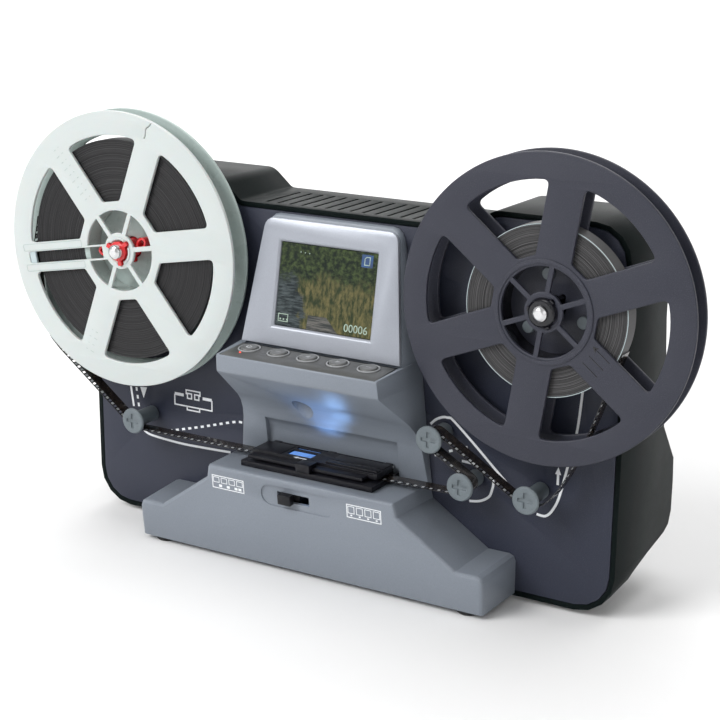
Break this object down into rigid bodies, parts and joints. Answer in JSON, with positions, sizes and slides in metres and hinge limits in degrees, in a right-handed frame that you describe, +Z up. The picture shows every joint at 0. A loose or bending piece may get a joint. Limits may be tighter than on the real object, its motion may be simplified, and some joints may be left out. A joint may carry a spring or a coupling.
{
  "type": "film scanner",
  "caption": "Table-top 8 mm film scanner with supply and take-up reels, guide rollers, hinged film gate, tilted screen and push buttons.",
  "frame": {"origin": "on the table under the middle of the object: the middle of its width and depth, at the bottom of its feet", "axes": "+Z up; +X to the viewer's right along the line from the supply reel to the take-up reel; -Y is the front, which the reels, screen and film gate face"},
  "size_m": [0.3396, 0.0955, 0.1965],
  "materials": {
    "housing_grey": "fine satin moulded plastic, cool mid grey",
    "bezel_silver": "satin moulded plastic, light silver grey",
    "strip_grey": "satin painted plastic, warm dark grey",
    "button_grey": "satin moulded plastic, grey",
    "panel_charcoal": "finely speckled matt plastic, charcoal with a violet cast",
    "shell_dark": "satin moulded plastic, green black",
    "reel_white": "glossy moulded plastic, off white",
    "reel_white_core": "glossy moulded plastic, pale grey green",
    "reel_grey": "finely speckled matt plastic, dark grey",
    "roller_grey": "satin moulded plastic, green grey",
    "gate_black": "satin moulded plastic, black",
    "plain_black": "moulded plastic, black",
    "adapter_red": "glossy moulded plastic, red",
    "foot_rubber": "soft black rubber",
    "bright_steel": "turned and polished steel",
    "plain_steel": "plain steel",
    "film_base": "glossy brown film",
    "screen_glass": "clear cover glass",
    "lcd_body": "display module",
    "board_green": "green lacquered circuit board",
    "board_white": "white lacquered circuit board",
    "gear_nylon": "natural nylon",
    "pinion_brass": "cut brass",
    "diffuser_opal": "opal diffuser"
  },
  "bodies": {
    "scanner_body": {"backlight_board": "board_white", "base_floor": "housing_grey", "base_housing": "housing_grey", "button_plate": "strip_grey", "camera_module": "plain_black", "card_slot": "plain_black", "control_board": "board_green", "dc_inlet": "plain_black", "film_strip": "film_base", "front_foot_left": "foot_rubber", "front_foot_right": "foot_rubber", "front_panel": "panel_charcoal", "gate_base": "gate_black", "gate_diffuser": "diffuser_opal", "gate_hinge_pin": "plain_steel", "lcd_module": "lcd_body", "main_board": "board_green", "monitor_housing": "housing_grey", "rear_foot_left": "foot_rubber", "rear_foot_right": "foot_rubber", "rear_shell": "shell_dark", "roller_pin_1": "plain_steel", "roller_pin_2": "plain_steel", "roller_pin_3": "plain_steel", "roller_pin_4": "plain_steel", "screen_bezel": "bezel_silver", "screen_window": "screen_glass", "supply_bearing": "plain_black", "supply_motor": "plain_steel", "takeup_bearing": "plain_black", "takeup_motor": "plain_steel", "usb_port": "plain_steel"},
    "supply_reel": {"supply_front_flange": "reel_white", "supply_rear_flange": "reel_white", "supply_core": "reel_white_core", "supply_film_pack": "film_base", "supply_adapter": "adapter_red", "supply_spindle": "bright_steel", "supply_gear": "gear_nylon"},
    "takeup_reel": {"takeup_front_flange": "reel_grey", "takeup_rear_flange": "reel_grey", "takeup_core": "reel_grey", "takeup_film_pack": "film_base", "takeup_adapter": "plain_black", "takeup_spindle": "bright_steel", "takeup_gear": "gear_nylon"},
    "supply_pinion_body": {"supply_pinion": "pinion_brass"},
    "takeup_pinion_body": {"takeup_pinion": "pinion_brass"},
    "lid": {"gate_lid": "gate_black"},
    "latch": {"gate_latch": "gate_black"},
    "slider": {"format_slider": "plain_black"},
    "roller_body_1": {"roller_1": "roller_grey"},
    "roller_body_2": {"roller_2": "roller_grey"},
    "roller_body_3": {"roller_3": "roller_grey"},
    "roller_body_4": {"roller_4": "roller_grey"},
    "button_power_body": {"button_power": "button_grey"},
    "button_menu_body": {"button_menu": "button_grey"},
    "button_left_body": {"button_left": "button_grey"},
    "button_right_body": {"button_right": "button_grey"},
    "button_enter_body": {"button_enter": "button_grey"}
  },
  "joints": [
    {"name": "supply_reel_spin", "type": "hinge", "parent": "scanner_body", "child": "supply_reel", "pos_m": [-0.1063, -0.03065, 0.133], "axis": [0, 1, 0], "continuous": true},
    {"name": "takeup_reel_spin", "type": "hinge", "parent": "scanner_body", "child": "takeup_reel", "pos_m": [0.1063, -0.03065, 0.133], "axis": [0, 1, 0], "continuous": true},
    {"name": "supply_pinion_spin", "type": "hinge", "parent": "scanner_body", "child": "supply_pinion_body", "pos_m": [-0.0943, -0.00565, 0.11221], "axis": [0, 1, 0], "continuous": true},
    {"name": "takeup_pinion_spin", "type": "hinge", "parent": "scanner_body", "child": "takeup_pinion_body", "pos_m": [0.0943, -0.00565, 0.11221], "axis": [0, 1, 0], "continuous": true},
    {"name": "roller_1_spin", "type": "hinge", "parent": "scanner_body", "child": "roller_body_1", "pos_m": [-0.1021, -0.03025, 0.0522], "axis": [0, 1, 0], "continuous": true},
    {"name": "roller_2_spin", "type": "hinge", "parent": "scanner_body", "child": "roller_body_2", "pos_m": [0.0556, -0.03025, 0.0708], "axis": [0, 1, 0], "continuous": true},
    {"name": "roller_3_spin", "type": "hinge", "parent": "scanner_body", "child": "roller_body_3", "pos_m": [0.0709, -0.03025, 0.0526], "axis": [0, 1, 0], "continuous": true},
    {"name": "roller_4_spin", "type": "hinge", "parent": "scanner_body", "child": "roller_body_4", "pos_m": [0.1014, -0.03025, 0.0527], "axis": [0, 1, 0], "continuous": true},
    {"name": "gate_lid_hinge", "type": "hinge", "parent": "scanner_body", "child": "lid", "pos_m": [0, -0.01705, 0.0505], "axis": [-1, 0, 0], "range_deg": [0, 60]},
    {"name": "gate_latch_slide", "type": "slide", "parent": "lid", "child": "latch", "axis": [-1, 0, 0], "range_m": [0, 0.003]},
    {"name": "format_slide", "type": "slide", "parent": "scanner_body", "child": "slider", "axis": [1, 0, 0], "range_m": [0, 0.0075]},
    {"name": "button_power_press", "type": "slide", "parent": "scanner_body", "child": "button_power_body", "axis": [0, 0.0727, -0.9974], "range_m": [0, 0.0008], "stiffness_N_per_m": 500},
    {"name": "button_menu_press", "type": "slide", "parent": "scanner_body", "child": "button_menu_body", "axis": [0, 0.0727, -0.9974], "range_m": [0, 0.0008], "stiffness_N_per_m": 500},
    {"name": "button_left_press", "type": "slide", "parent": "scanner_body", "child": "button_left_body", "axis": [0, 0.0727, -0.9974], "range_m": [0, 0.0008], "stiffness_N_per_m": 500},
    {"name": "button_right_press", "type": "slide", "parent": "scanner_body", "child": "button_right_body", "axis": [0, 0.0727, -0.9974], "range_m": [0, 0.0008], "stiffness_N_per_m": 500},
    {"name": "button_enter_press", "type": "slide", "parent": "scanner_body", "child": "button_enter_body", "axis": [0, 0.0727, -0.9974], "range_m": [0, 0.0008], "stiffness_N_per_m": 500}
  ],
  "couplings": [
    {"joint": "supply_pinion_spin", "follows": "supply_reel_spin", "ratio": -3},
    {"joint": "takeup_pinion_spin", "follows": "takeup_reel_spin", "ratio": -3}
  ]
}
